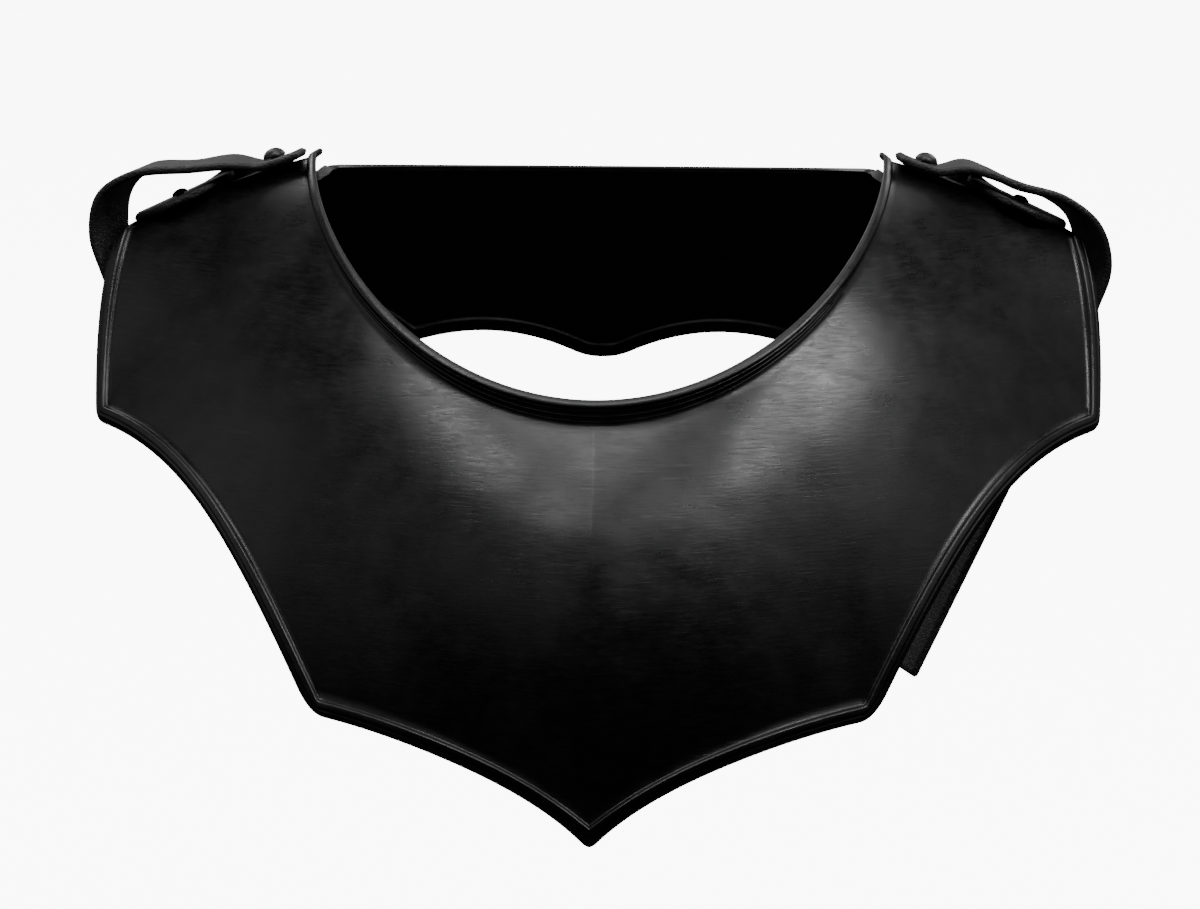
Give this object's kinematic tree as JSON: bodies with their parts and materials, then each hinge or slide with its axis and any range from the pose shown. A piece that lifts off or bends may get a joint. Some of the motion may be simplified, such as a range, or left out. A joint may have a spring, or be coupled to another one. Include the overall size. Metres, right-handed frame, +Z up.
{
  "type": "steel gorget",
  "caption": "Blackened steel gorget: breast plate with a scalloped, bordered edge and a nape plate, joined by leather straps over the shoulders, with a looped fastening strap off each shoulder.",
  "frame": {"origin": "middle of the neck opening, level with the crests of the shoulders, as worn", "axes": "+Z up, +Y to the wearer's back, +X to the wearer's left, as worn"},
  "size_m": [0.3647, 0.2498, 0.2054],
  "materials": {
    "blackened_steel": "blackened, fine brushed scratches",
    "black_leather": "waxed black",
    "rivet_steel": "blackened"
  },
  "bodies": {
    "root": {"front_plate": "blackened_steel", "back_plate": "blackened_steel", "joining_strap_left": "black_leather", "joining_strap_right": "black_leather", "strap_left": "black_leather", "strap_right": "black_leather", "dome_rivet_left": "rivet_steel", "dome_rivet_right": "rivet_steel", "small_rivet_left": "rivet_steel", "small_rivet_right": "rivet_steel", "nape_rivet_left": "rivet_steel", "nape_rivet_right": "rivet_steel"}
  },
  "joints": []
}
